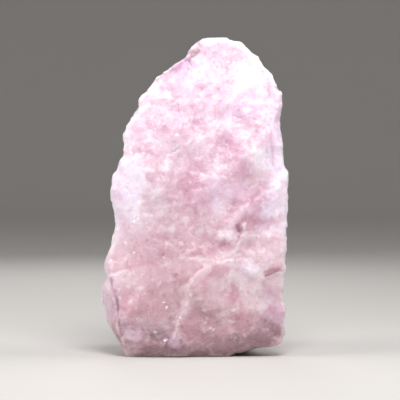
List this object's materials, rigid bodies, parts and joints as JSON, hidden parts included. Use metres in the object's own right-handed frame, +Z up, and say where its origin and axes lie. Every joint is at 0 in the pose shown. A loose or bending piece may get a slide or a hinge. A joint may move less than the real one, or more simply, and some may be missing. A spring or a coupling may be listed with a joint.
{
  "type": "rose quartz chunk",
  "caption": "Rough upright chunk of pink rose quartz with a domed top, broken faces and a flat foot to stand on.",
  "frame": {"origin": "on the flat break that the stone stands on, under the middle of the whole stone's box", "axes": "+Z up along the stone's longest extent, -Y out of its broad front face, +Y through its thickness to the rough back, +X to the right as seen from the front"},
  "size_m": [0.0938, 0.0588, 0.1595],
  "materials": {
    "rose_quartz": "broken, glassy on fresh flakes and frosted between them, milky and slightly see-through"
  },
  "bodies": {
    "root": {"rose_quartz_chunk": "rose_quartz"}
  },
  "joints": []
}
